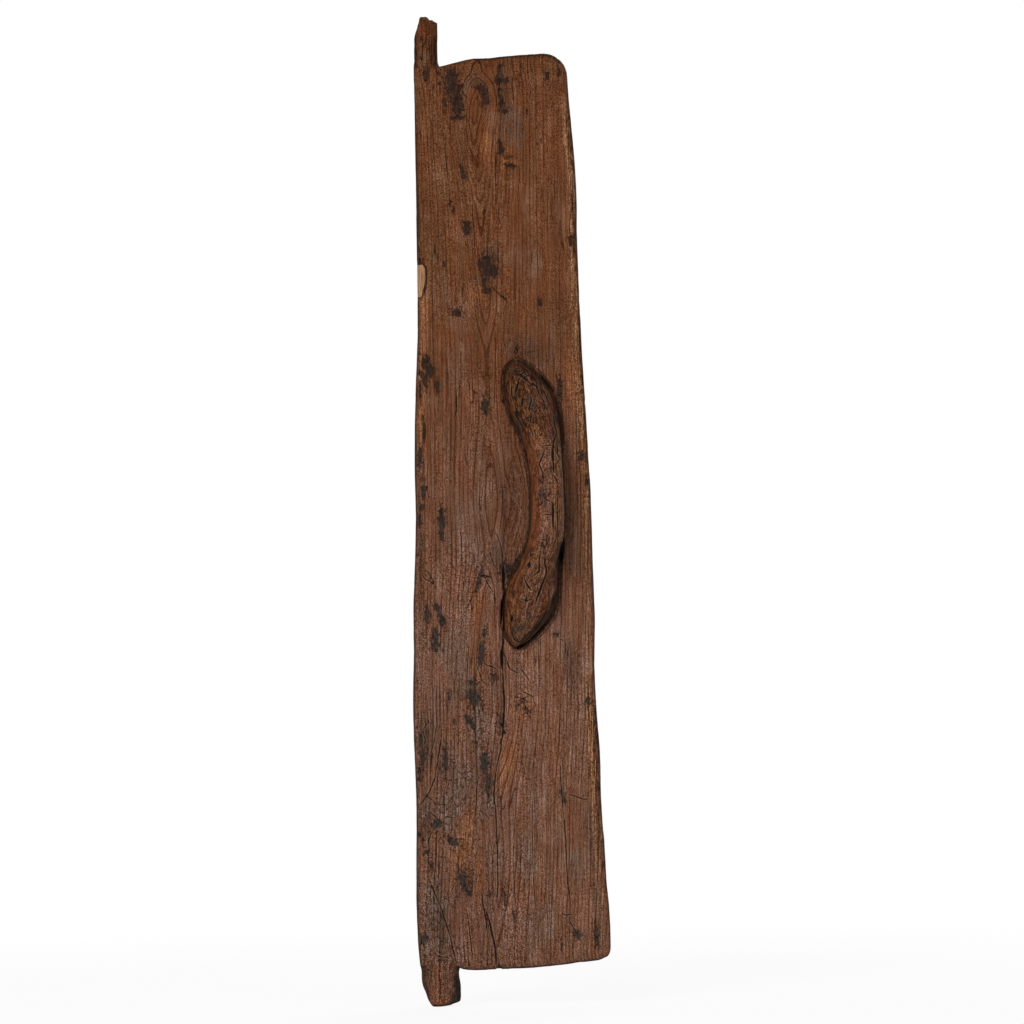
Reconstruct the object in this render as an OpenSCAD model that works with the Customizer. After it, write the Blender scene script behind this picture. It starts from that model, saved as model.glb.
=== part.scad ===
// Granary door: one hewn hardwood leaf that turns on its own pivots, with a bowed handle let into its
// front. The hinge axis is Z, the sill plane is Z = 0, +X runs to the free edge and +Y into the wall.
// All sizes are in millimetres.

/* [Leaf] */
// Height of the leaf, from the sill plane to the top of its free corner
leaf_h = 1003; // [850:1:1200]
// Width of the leaf at the top
leaf_top_w = 168.2; // [150:0.1:200]
// Width of the leaf at the foot
leaf_foot_w = 211.5; // [195:0.5:240]
// Thickness of the slab
leaf_t = 43; // [42.5:0.5:54]
// How far the hinge edge stands outside the hinge axis at the top
hinge_top = 13.2; // [12.5:0.1:16]
// How far the hinge edge stands outside the hinge axis at the foot
hinge_foot = 24; // [21:0.5:30]
// How far the top edge drops at the upper pivot
top_drop = 13; // [6:0.5:20]
// How far the bottom edge rises at the free corner
foot_rise = 6.5; // [2:0.5:12]
// Radius of the worn free corner at the top
top_corner_r = 26; // [12:1:32]
// Radius of the worn free corner at the foot
foot_corner_r = 13; // [9:1:24]
// Radius of the worn arris around the front
front_arris = 7; // [3:0.5:8]
// Radius of the arris around the back
back_arris = 4; // [2:0.5:6]
// Depth that the cheeks are hewn away beside the upper pivot
cheek_cut = 8; // [3:0.5:10]
// How far the hewn cheeks run down the hinge edge
cheek_run = 80; // [50:1:140]

/* [Pivots] */
// Diameter of the upper pivot
upper_d = 25.8; // [20:0.1:27]
// Length of the round part of the upper pivot, above its shoulder
upper_len = 27; // [15:0.5:40]
// Length of the broken tip above it
upper_tip = 26; // [12:0.5:34]
// Diameter of the lower pivot
lower_d = 41; // [32:0.5:42]
// Length of the round part of the lower pivot, below the sill plane
lower_len = 20; // [12:0.5:30]
// Length of the worn toe below it
lower_toe = 22; // [16:0.5:30]
// Width of the shoulder that each pivot ends at
shoulder = 0.7; // [0.5:0.1:1.5]

/* [Handle] */
// Length of the handle, from tip to tip
handle_len = 315; // [270:1:340]
// Height of the handle's lower tip above the sill plane
handle_z = 351.5; // [300:0.5:420]
// Distance of the handle's tips from the hinge axis
handle_x = 90; // [84:0.5:100]
// How far the grip bows towards the free edge
handle_bow = 36; // [20:0.5:42]
// Width of the grip
grip_w = 36.4; // [28:0.2:42]
// Width of the two leaf-shaped feet
foot_w = 54.4; // [48:0.2:60]
// How far the handle stands proud of the leaf
handle_proud = 58; // [50:0.5:68]
// Finger room between the grip and the leaf
finger_room = 26; // [22:0.5:30]
// Depth of the housings that the feet are let into
housing = 8; // [5:0.5:12]
// Width of the open joint around each foot
housing_gap = 3; // [1.5:0.1:4]
// Width of each tenon
tenon_w = 20; // [14:0.5:26]
// Height of each tenon
tenon_h = 30; // [24:0.5:36]
// Clearance around each tenon in its mortise
tenon_gap = 0.3; // [0.1:0.05:0.6]
// Depth of the hollow for the fingers beside the grip
scoop = 7; // [3:0.5:9]
// Length of the hollow for the fingers
scoop_len = 130; // [100:1:150]

/* [Wedges] */
// Length of each wedge
wedge_len = 26; // [18:0.5:32]
// Thickness of each wedge at its thick end
wedge_t = 5; // [3:0.1:7]
// Thickness of each wedge at its thin end
wedge_tip = 1.6; // [1:0.1:2.5]
// Clearance of each wedge in its kerf
wedge_gap = 0.1; // [0.05:0.05:0.2]
// How far the tenons and wedges are trimmed below the back face
trim_back = 0.5; // [0.2:0.1:1]

/* [Edge patch] */
// Height of the patch above the sill plane
patch_z = 737; // [700:1:760]
// Length of the patch
patch_len = 36; // [24:1:48]
// Width of the patch, in from the hinge edge
patch_w = 9.3; // [6:0.1:11]
// Depth of the patch behind the front face
patch_t = 14; // [10:0.5:20]
// Clearance around the patch
patch_gap = 0.2; // [0.1:0.05:0.4]

/* [Splits] */
// Length of the long split beside the lower foot of the handle
long_split_len = 135; // [80:1:160]
// Length of the open check in the bottom edge
foot_check_len = 66; // [40:1:90]
// Width of the long split and of the check's mouth
split_w = 3; // [1.5:0.1:4.5]
// Depth of the splits
split_depth = 14; // [6:0.5:20]

/* [Hidden] */

front = -leaf_t / 2;
back = leaf_t / 2;
free_top = leaf_top_w - hinge_top;
free_foot = leaf_foot_w - hinge_foot;
floor_y = front + housing;
upper_r = upper_d / 2;
lower_r = lower_d / 2;
upper_z = leaf_h - top_drop + 3;
edge_steps = 40;
side_steps = 12;
arc_steps = 5;
arris_steps = 4;
handle_steps = 36;
ring_points = 22;
past = 5;
// How far each pivot's root runs on inside the leaf
upper_root = 20;
lower_root = 12;
// Height of the leaf's lower hinge corner above the sill plane
lower_ledge = 2;
// Distance of the check in the bottom edge from the lower pivot
check_x = 43;

wood = [0.38, 0.25, 0.19];
handle_wood = [0.40, 0.26, 0.16];
tenon_wood = [0.45, 0.32, 0.22];
patch_wood = [0.62, 0.48, 0.34];

// Course of the hinge edge: height as a share, then 0 for its top place and 1 for its foot place
hinge_run = [[0, 0.8], [0.02, 0.95], [0.07, 1.06], [0.12, 1.01], [0.165, 0.92], [0.21, 0.97], [0.285, 1.1],
             [0.36, 0.93], [0.385, 0.97], [0.43, 0.76], [0.48, 0.56], [0.5, 0.5], [0.54, 0.57], [0.6, 0.46],
             [0.65, 0.25], [0.69, 0.04], [0.74, 0], [1, 0]];
// Course of the free edge, in the same terms
free_run = [[0, 1], [0.04, 1], [0.065, 0.97], [0.09, 0.9], [0.137, 0.84], [0.165, 0.78], [0.19, 0.75],
            [0.23, 0.75], [0.28, 0.65], [0.33, 0.6], [0.375, 0.64], [0.45, 0.6], [0.52, 0.565],
            [0.6, 0.45], [0.67, 0.355], [0.72, 0.305], [0.765, 0.26], [0.81, 0.235], [0.84, 0.25],
            [0.88, 0.2], [0.93, 0.085], [0.97, 0], [1, 0]];
// Drop of the top edge, from the upper pivot to the free corner: 1 is the whole drop
top_run = [[0, 1], [0.12, 0.76], [0.3, 0.385], [0.37, 0.33], [0.47, 0.36], [0.6, 0.225], [0.75, 0.115],
           [1, 0]];
// Rise of the bottom edge, from the lower pivot to the free corner: 1 is the whole rise
foot_run = [[0, 0.3], [0.02, -0.1], [0.06, -0.28], [0.14, -0.38], [0.25, -0.28], [0.4, -0.18],
            [0.55, -0.1], [0.65, 0.14], [0.78, 0.41], [0.88, 0.7], [1, 1]];
// Plan of the handle, from its lower tip to its upper tip: share of the length, bow from 0 to 1,
// and width, where 1 is the grip's width and 2 the foot's
handle_run = [[0, -0.05, 0], [0.02, 0.05, 0.52], [0.052, 0.14, 0.93], [0.094, 0.28, 1.59],
              [0.146, 0.41, 2.02], [0.199, 0.47, 2], [0.281, 0.64, 1.52], [0.339, 0.84, 1.18],
              [0.409, 0.97, 1.07], [0.513, 1, 1], [0.634, 0.95, 1.02], [0.723, 0.84, 1.27],
              [0.793, 0.675, 1.75], [0.844, 0.567, 1.9], [0.898, 0.41, 1.62], [0.951, 0.21, 0.9],
              [0.985, 0.1, 0.45], [1, 0.05, 0]];
// Height of the handle's crest, as a share of how far it stands proud
crest_run = [[0, 0.05], [0.03, 0.17], [0.08, 0.33], [0.16, 0.56], [0.26, 0.8], [0.38, 0.96], [0.5, 1],
             [0.62, 0.96], [0.74, 0.8], [0.84, 0.56], [0.92, 0.33], [0.97, 0.17], [1, 0.05]];
// The feet end and the grip comes free of the leaf at these shares of the handle's length
foot_end = 0.315;
foot_start = 0.7;
// Length of the underside's curve, from the leaf up to the finger room
spring = 0.08;
// Places of the tenons along the handle
tenon_at = [0.18, 0.83];

function lerp(a, b, t) = a + (b - a) * t;
function clamp(t) = max(0, min(1, t));
function span(run, t, i = 0) = i >= len(run) - 2 || t < run[i + 1][0] ? i : span(run, t, i + 1);
function slope(run, i, k) = let (a = max(0, i - 1), b = min(len(run) - 1, i + 1))
    (run[b][k] - run[a][k]) / (run[b][0] - run[a][0]);
// A smooth curve through the stations of a run, read from its column k
function along(run, t, k = 1) = let (
    i = span(run, t),
    h = run[i + 1][0] - run[i][0],
    u = (t - run[i][0]) / h
) run[i][k] * (1 + 2 * u) * pow(1 - u, 2) + run[i + 1][k] * u * u * (3 - 2 * u)
    + h * slope(run, i, k) * u * pow(1 - u, 2) - h * slope(run, i + 1, k) * u * u * (1 - u);

// The leaf's four edges, seen from the front
function hinge_edge(z) = -lerp(hinge_top, hinge_foot, along(hinge_run, z / leaf_h));
function free_edge(z) = lerp(free_top, free_foot, along(free_run, z / leaf_h));
function top_edge(x) = leaf_h
    - top_drop * along(top_run, clamp((x - upper_r) / (free_top - top_corner_r - upper_r)));
function foot_edge(x) = foot_rise
    * along(foot_run, clamp((x - lower_r) / (free_foot - foot_corner_r - lower_r)));

top_corner = [free_edge(leaf_h) - top_corner_r, leaf_h - top_corner_r];
foot_corner = [free_edge(foot_corner_r + foot_rise) - foot_corner_r, foot_rise + foot_corner_r];

leaf_outline = [
    [hinge_edge(0), lower_ledge],
    for (i = [0 : side_steps]) let (x = lerp(lower_r + 0.3, foot_corner[0], pow(i / side_steps, 1.6)))
        [x, foot_edge(x)],
    for (i = [1 : arc_steps]) let (a = -90 + 90 * i / (arc_steps + 1))
        foot_corner + foot_corner_r * [cos(a), sin(a)],
    for (i = [0 : edge_steps]) let (z = lerp(foot_corner[1], top_corner[1], i / edge_steps))
        [free_edge(z), z],
    for (i = [1 : arc_steps]) let (a = 90 * i / (arc_steps + 1))
        top_corner + top_corner_r * [cos(a), sin(a)],
    for (i = [0 : side_steps]) let (x = lerp(top_corner[0], upper_r + shoulder, i / side_steps))
        [x, top_edge(x)],
    [hinge_edge(leaf_h), leaf_h - top_drop],
    for (i = [1 : edge_steps - 1]) let (z = lerp(leaf_h - top_drop, lower_ledge, i / edge_steps))
        [hinge_edge(z), z]
];

// Rings from the back face to the front face: depth, and how far the outline is drawn in
leaf_rings = [
    for (i = [0 : arris_steps]) let (a = 90 * i / arris_steps)
        [back - back_arris * (1 - cos(a)), back_arris * (1 - sin(a))],
    for (i = [0 : arris_steps]) let (a = 90 * i / arris_steps)
        [front + front_arris * (1 - sin(a)), front_arris * (1 - cos(a))]
];

function unit(v) = v / norm(v);
function outward(a, b) = let (d = unit(b - a)) [d[1], -d[0]];
// The outline moved inwards by d, each edge staying parallel to itself
function drawn_in(pts, d) = let (n = len(pts)) [
    for (i = [0 : n - 1]) let (
        p = outward(pts[(i + n - 1) % n], pts[i]),
        q = outward(pts[i], pts[(i + 1) % n])
    ) pts[i] - d * (p + q) / (1 + p * q)
];

// Closed skin through rings of points, all with the same count
module loft(rings) {
    n = len(rings[0]);
    last = len(rings) - 1;
    polyhedron(
        points = [for (r = rings) each r],
        faces = [
            [for (i = [0 : n - 1]) i],
            for (j = [0 : last - 1]) for (i = [0 : n - 1]) let (k = (i + 1) % n) each [
                [j * n + i, (j + 1) * n + i, (j + 1) * n + k],
                [j * n + i, (j + 1) * n + k, j * n + k]
            ],
            [for (i = [0 : n - 1]) last * n + n - 1 - i]
        ]
    );
}

// Prism of a front view outline, from depth y0 to depth y1
module prism(pts, y0, y1) {
    translate([0, y1, 0]) rotate([90, 0, 0]) linear_extrude(y1 - y0) polygon(pts);
}

module slab() {
    loft([for (r = leaf_rings) [for (p = drawn_in(leaf_outline, r[1])) [p[0], r[0], p[1]]]]);
}

// Slope hewn off the corner beside the upper pivot, on the face that side points to
module cheek(side) {
    fall = atan(cheek_cut / (0.6 * cheek_run));
    translate([hinge_edge(leaf_h), side * leaf_t / 2, leaf_h - top_drop - cheek_run])
        rotate([0, -45, 0]) rotate([side * fall, 0, 0])
        translate([-2 * cheek_run, side > 0 ? 0 : -leaf_t, 0]) cube([4 * cheek_run, leaf_t, 3 * cheek_run]);
}

// Upper pivot, turned about the hinge axis, its tip broken off in steps
module upper_pivot() {
    root = upper_z - upper_root;
    tip_z = upper_z + upper_len;
    tip_r = upper_r - 0.4;
    top_z = tip_z + upper_tip;
    difference() {
        rotate_extrude($fn = 96) polygon([
            [0, root], [upper_r + shoulder, root], [upper_r + shoulder, upper_z], [upper_r, upper_z],
            [upper_r, tip_z], [tip_r, tip_z], [tip_r, top_z], [0, top_z]
        ]);
        // Worn slope on the hinge side
        prism([
            [-2 * upper_r, tip_z + 0.1 * upper_tip], [-0.97 * upper_r, tip_z + 0.1 * upper_tip],
            [-0.72 * upper_r, top_z - 0.35 * upper_tip], [-0.55 * upper_r, top_z - 0.06 * upper_tip],
            [-0.45 * upper_r, top_z + past], [-2 * upper_r, top_z + past]
        ], -2 * upper_r, 2 * upper_r);
        // Steps where the tip broke away on the other side
        prism([
            [0.08 * upper_r, top_z + past], [0.2 * upper_r, top_z - 0.14 * upper_tip],
            [0.52 * upper_r, top_z - 0.2 * upper_tip], [0.66 * upper_r, top_z - 0.33 * upper_tip],
            [2 * upper_r, top_z - 0.42 * upper_tip], [2 * upper_r, top_z + past]
        ], -2 * upper_r, 2 * upper_r);
        // Splintered slope on the front
        translate([0, -0.2 * upper_r, top_z - 0.12 * upper_tip]) rotate([22, 0, 0])
            translate([-2 * upper_r, -3 * upper_r, 0]) cube([4 * upper_r, 3 * upper_r, upper_tip]);
    }
}

// Lower pivot, its toe rounded and worn away on the hinge side
module lower_pivot() {
    toe_r = lower_r - 0.4;
    toe_z = -lower_len - lower_toe;
    bend = 0.36 * lower_toe;
    difference() {
        rotate_extrude($fn = 128) polygon([
            [0, lower_root], [lower_r + shoulder, lower_root], [lower_r + shoulder, 0], [lower_r, 0],
            [lower_r, -lower_len], [toe_r, -lower_len],
            for (i = [0 : 4]) let (a = 90 * i / 4) [toe_r - bend * (1 - cos(a)), toe_z + bend * (1 - sin(a))],
            [0, toe_z]
        ]);
        // Worn slopes on the hinge side, the lower one flatter
        prism([
            [-2 * lower_r, -lower_len - 0.08 * lower_toe], [-0.99 * lower_r, -lower_len - 0.08 * lower_toe],
            [-0.82 * lower_r, -lower_len - 0.4 * lower_toe], [-0.6 * lower_r, toe_z + 0.2 * lower_toe],
            [-0.3 * lower_r, toe_z - past], [-2 * lower_r, toe_z - past]
        ], -2 * lower_r, 2 * lower_r);
        prism([
            [0.35 * lower_r, toe_z - past], [0.5 * lower_r, toe_z + 0.04 * lower_toe],
            [2 * lower_r, toe_z + 0.5 * lower_toe], [2 * lower_r, toe_z - past]
        ], -2 * lower_r, 2 * lower_r);
    }
}

// The handle's centre line, half width, crest and underside, at a share of its length
function bow_x(s) = handle_x + handle_bow * along(handle_run, s, 1);
function half_w(s) = let (k = max(0, along(handle_run, s, 2)))
    k < 1 ? k * grip_w / 2 : lerp(grip_w, foot_w, k - 1) / 2;
function crest_y(s) = front - handle_proud * along(crest_run, s);
function risen(s) = clamp(min((s - foot_end) / spring, (foot_start - s) / spring));
function under_y(s) = let (u = risen(s))
    lerp(floor_y, front - finger_room, sqrt(1 - pow(1 - u, 2)));
function at_z(s) = handle_z + handle_len * s;

// One section across the handle: a crown over straight sides on the feet, an oval along the grip
function handle_ring(s) = let (
    free = pow(clamp(risen(s) * 1.5), 0.7),
    waist = lerp(front, (crest_y(s) + under_y(s)) / 2, free),
    square = lerp(0.16, 0.8, free)
) [
    for (i = [0 : ring_points - 1]) let (
        a = 360 * i / ring_points,
        c = cos(a), t = sin(a),
        upper = t < 0,
        reach = upper ? 0.85 : square
    ) [
        bow_x(s) + max(0.4, half_w(s)) * sign(c) * pow(abs(c), reach),
        upper ? waist + (waist - crest_y(s)) * -pow(abs(t), 0.9)
            : waist + min(under_y(s) - waist, lerp(1.3, 1, free) * (under_y(s) - waist) * pow(t, square)),
        at_z(s)
    ]
];

// Plan of one housing: the foot's outline with the open joint around it, wider on the outer side
function housing_plan(s0, s1) = let (n = 16, side = s0 == 0 ? -1 : 1) concat(
    [for (i = [0 : n]) let (s = lerp(s0, s1, i / n))
        [bow_x(s) - half_w(s) - housing_gap, at_z(s)]],
    [for (i = [n : -1 : 0]) let (s = lerp(s0, s1, i / n), tip = abs(s - 0.5) * 2)
        [bow_x(s) + half_w(s) + housing_gap * (1 + tip), at_z(s) + side * housing_gap * tip]]
);

module handle_body() {
    loft([for (i = [0 : handle_steps]) handle_ring((1 - cos(180 * i / handle_steps)) / 2)]);
}

// Tenon of one foot, or its mortise when grown by a clearance
module tenon(s, grow) {
    translate([bow_x(s) - tenon_w / 2 - grow, floor_y - (grow > 0 ? past : 3), at_z(s) - tenon_h / 2 - grow])
        cube([tenon_w + 2 * grow, back - trim_back - floor_y + (grow > 0 ? 3 * past : 3), tenon_h + 2 * grow]);
}

// Wedge of one tenon, thick end flush with the tenon's end, or its kerf when grown by a clearance
module wedge(s, grow) {
    end = back - trim_back;
    translate([bow_x(s) - tenon_w / 2 - (grow > 0 ? past : 0), 0, at_z(s)]) rotate([90, 0, 90])
        linear_extrude(tenon_w + (grow > 0 ? 2 * past : 0)) polygon([
            [end - wedge_len - 2 * grow, -wedge_tip / 2 - grow],
            [end + 2 * grow, -wedge_t / 2 - grow],
            [end + 2 * grow, wedge_t / 2 + grow],
            [end - wedge_len - 2 * grow, wedge_tip / 2 + grow]
        ]);
}

// Plan of the edge patch, rounded at its top and running to a point at its foot
module patch_block(grow) {
    z1 = patch_z + patch_len;
    edge = hinge_edge(patch_z);
    prism([
        [edge - past, patch_z - grow],
        [edge + 0.45 * patch_w + grow, patch_z - grow],
        [edge + 0.75 * patch_w + grow, patch_z + 0.25 * patch_len],
        [edge + patch_w + grow, patch_z + 0.55 * patch_len],
        [edge + 0.95 * patch_w + grow, z1 - 0.12 * patch_len],
        [edge + 0.7 * patch_w + grow, z1 + grow],
        [edge - past, z1 + grow]
    ], front - past, front + patch_t + grow);
}

// Length of the hinge edge with its worn arris, from which the patch is cut
module edge_stick() {
    loft([
        for (i = [-1 : 3]) let (z = patch_z + patch_len * i / 2, edge = hinge_edge(z)) [
            [edge + 2 * patch_w, front + patch_t + past, z],
            [edge, front + patch_t + past, z],
            for (j = [0 : arris_steps]) let (a = 90 * j / arris_steps)
                [edge + front_arris * (1 - cos(a)), front + front_arris * (1 - sin(a)), z],
            [edge + 2 * patch_w, front, z]
        ]
    ]);
}

// Hollow for the fingers, a long shallow trough that dies out at both ends
module finger_scoop() {
    trough_r = 40;
    bow_r = (pow(scoop_len / 2, 2) + pow(scoop, 2)) / (2 * scoop);
    middle = (foot_end + foot_start) / 2;
    translate([bow_x(middle) - grip_w / 2 - 8, front - trough_r + scoop, at_z(middle)])
        rotate_extrude($fn = 96) polygon([
            [0, -scoop_len / 2],
            for (i = [-6 : 6]) let (z = scoop_len / 2 * i / 6)
                [trough_r - bow_r + sqrt(bow_r * bow_r - z * z), z],
            [0, scoop_len / 2]
        ]);
}

// Long split, a narrow lens that runs up beside the handle's lower foot
module long_split() {
    x = bow_x(0.1) - half_w(0.1) - housing_gap;
    z = at_z(0.1);
    prism([
        [x - 1.5, z - 0.58 * long_split_len],
        [x + 0.2 * split_w, z - 0.2 * long_split_len],
        [x + 0.5 * split_w, z],
        [x + 1.2, z + 0.42 * long_split_len],
        [x - 0.4 * split_w, z],
        [x - 0.4 * split_w, z - 0.2 * long_split_len]
    ], front - past, front + split_depth);
}

// Open check that runs up from the bottom edge
module foot_check() {
    x = lower_r + check_x;
    prism([
        [x - 0.3 * split_w, -past],
        [x + 1.4 * split_w, -past],
        [x + 0.5 * split_w, 0.12 * foot_check_len],
        [x - 2, 0.35 * foot_check_len],
        [x - 14, foot_check_len],
        [x - 5, 0.4 * foot_check_len],
        [x - 0.4 * split_w, 0.1 * foot_check_len]
    ], front - past, front + split_depth + 8);
}

module leaf() {
    color(wood) {
        difference() {
            union() {
                difference() {
                    slab();
                    cheek(-1);
                    cheek(1);
                }
                upper_pivot();
                lower_pivot();
            }
            prism(housing_plan(0, foot_end + 0.02), front - past, floor_y);
            prism(housing_plan(1, foot_start - 0.02), front - past, floor_y);
            for (s = tenon_at) tenon(s, tenon_gap);
            patch_block(patch_gap);
            finger_scoop();
            long_split();
            foot_check();
        }
    }
}

module handle() {
    color(handle_wood) difference() {
        union() {
            handle_body();
            for (s = tenon_at) tenon(s, 0);
        }
        for (s = tenon_at) wedge(s, wedge_gap);
    }
}

module lower_wedge() {
    color(tenon_wood) wedge(tenon_at[0], 0);
}

module upper_wedge() {
    color(tenon_wood) wedge(tenon_at[1], 0);
}

module edge_patch() {
    color(patch_wood) intersection() {
        edge_stick();
        patch_block(0);
    }
}

leaf();
handle();
upper_wedge();
lower_wedge();
edge_patch();
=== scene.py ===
import math

import bpy
import numpy as np
from mathutils import Matrix, Vector


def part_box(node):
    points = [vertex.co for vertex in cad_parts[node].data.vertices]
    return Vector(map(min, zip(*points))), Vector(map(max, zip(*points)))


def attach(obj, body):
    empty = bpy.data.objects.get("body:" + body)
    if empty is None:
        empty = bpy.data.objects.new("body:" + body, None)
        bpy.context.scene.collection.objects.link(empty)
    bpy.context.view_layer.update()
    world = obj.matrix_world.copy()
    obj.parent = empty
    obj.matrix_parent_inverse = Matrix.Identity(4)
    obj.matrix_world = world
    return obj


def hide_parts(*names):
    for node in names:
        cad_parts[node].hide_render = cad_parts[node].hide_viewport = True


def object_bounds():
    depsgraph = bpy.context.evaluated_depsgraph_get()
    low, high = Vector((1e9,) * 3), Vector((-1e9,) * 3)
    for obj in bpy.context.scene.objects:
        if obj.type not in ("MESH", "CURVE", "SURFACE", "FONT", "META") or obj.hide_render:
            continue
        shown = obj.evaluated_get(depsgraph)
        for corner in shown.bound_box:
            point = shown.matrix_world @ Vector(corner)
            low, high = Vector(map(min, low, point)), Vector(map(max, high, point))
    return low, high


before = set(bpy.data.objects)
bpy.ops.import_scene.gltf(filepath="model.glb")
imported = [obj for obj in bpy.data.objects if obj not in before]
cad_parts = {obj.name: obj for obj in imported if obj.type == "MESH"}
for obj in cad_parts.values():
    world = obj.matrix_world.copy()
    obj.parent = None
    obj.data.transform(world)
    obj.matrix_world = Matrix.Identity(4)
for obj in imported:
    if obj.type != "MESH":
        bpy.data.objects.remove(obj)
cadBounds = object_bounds()
print("granary door: frame loaded")

mm = 0.001

# the camera, straight in front of the leaf, far enough off to be nearly free of perspective
view = {
    "middleX": 86.8,
    "middleZ": 500.1,
    "pictureWidth": 1126.4,
    "distance": 8000,
    "lean": 0.908,  # degrees that the hinge axis leans to the left in the picture
    "sensor": 36,
    "clipEnd": 200,  # metres
}

studio = {
    "floorSize": 60,
    "floorZ": cadBounds[0].z,
    "floorPaint": (0.9, 0.9, 0.9, 1),
    "floorWhite": 0.9,  # share of plain white near the object, where the rest takes its shadow
    "shadowReach": 1.6,  # metres from the object at which the floor is all white
    "shadowStart": 0.8,  # metres from the object up to which its shadow shows in full
    "world": 0.26,
    "key": {"place": (-1.9, -4.6, 3.1), "size": 2.6, "power": 176},
    "fill": {"place": (3.0, -4.8, 0.7), "size": 3.0, "power": 46},
    "behind": {"place": (1.8, 4.6, 2.4), "size": 3.0, "power": 170},
}


def makeCamera():
    lean = math.radians(view["lean"])
    across = Vector((math.cos(lean), 0, -math.sin(lean)))
    up = Vector((math.sin(lean), 0, math.cos(lean)))
    turn = Matrix((across, up, Vector((0, -1, 0)))).transposed().to_4x4()
    place = Vector((view["middleX"], -view["distance"], view["middleZ"])) * mm
    bpy.ops.object.camera_add()
    camera = bpy.context.active_object
    camera.matrix_world = Matrix.Translation(place) @ turn
    camera.data.sensor_width = view["sensor"]
    camera.data.lens = view["sensor"] * view["distance"] / view["pictureWidth"]
    camera.data.clip_end = view["clipEnd"]
    bpy.context.scene.camera = camera


def makeLamp(name, look):
    towards = Vector((view["middleX"], 0, view["middleZ"])) * mm
    place = Vector(look["place"])
    bpy.ops.object.light_add(type="AREA", location=place)
    lamp = bpy.context.active_object
    lamp.name = name
    lamp.rotation_euler = (towards - place).to_track_quat("-Z", "Y").to_euler()
    lamp.data.shape = "DISK"
    lamp.data.size = look["size"]
    lamp.data.energy = look["power"]
    lamp.visible_camera = False


makeCamera()
for lampName in ("key", "fill", "behind"):
    makeLamp(lampName, studio[lampName])
print("camera and lamps set")


class Wire:
    # a node's output that takes part in sums; each sum adds its Math node
    def __init__(self, tree, socket):
        self.tree, self.socket = tree, socket

    def maths(self, operation, first, second=0.0):
        return addNode(self.tree, "ShaderNodeMath", {"operation": operation}, {0: first, 1: second})

    def __add__(self, other):
        return self.maths("ADD", self, other)

    __radd__ = __add__

    def __sub__(self, other):
        return self.maths("SUBTRACT", self, other)

    def __rsub__(self, other):
        return self.maths("SUBTRACT", other, self)

    def __mul__(self, other):
        return self.maths("MULTIPLY", self, other)

    __rmul__ = __mul__

    def __truediv__(self, other):
        return self.maths("DIVIDE", self, other)

    def __pow__(self, other):
        return self.maths("POWER", self, other)

    def __abs__(self):
        return self.maths("ABSOLUTE", self)

    def sway(self, reach):
        # what lies from 0 to 1 is spread evenly about 0 over the given reach
        return (self - 0.5) * reach


def addNode(tree, kind, settings=None, inputs=None, output=0):
    # any node: its settings go in first, then the values or links of its sockets
    made = tree.nodes.new(kind)
    for key, value in (settings or {}).items():
        setattr(made, key, value)
    for key, value in (inputs or {}).items():
        if isinstance(value, Wire):
            tree.links.new(value.socket, made.inputs[key])
        else:
            made.inputs[key].default_value = value
    return Wire(tree, made.outputs[output]) if made.outputs else made


def tint(red, green, blue):
    # a colour as a screen shows it, from 0 to 255, made linear
    shown = [value / 255 for value in (red, green, blue)]
    return [v / 12.92 if v < 0.04045 else ((v + 0.055) / 1.055) ** 2.4 for v in shown] + [1.0]


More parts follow.
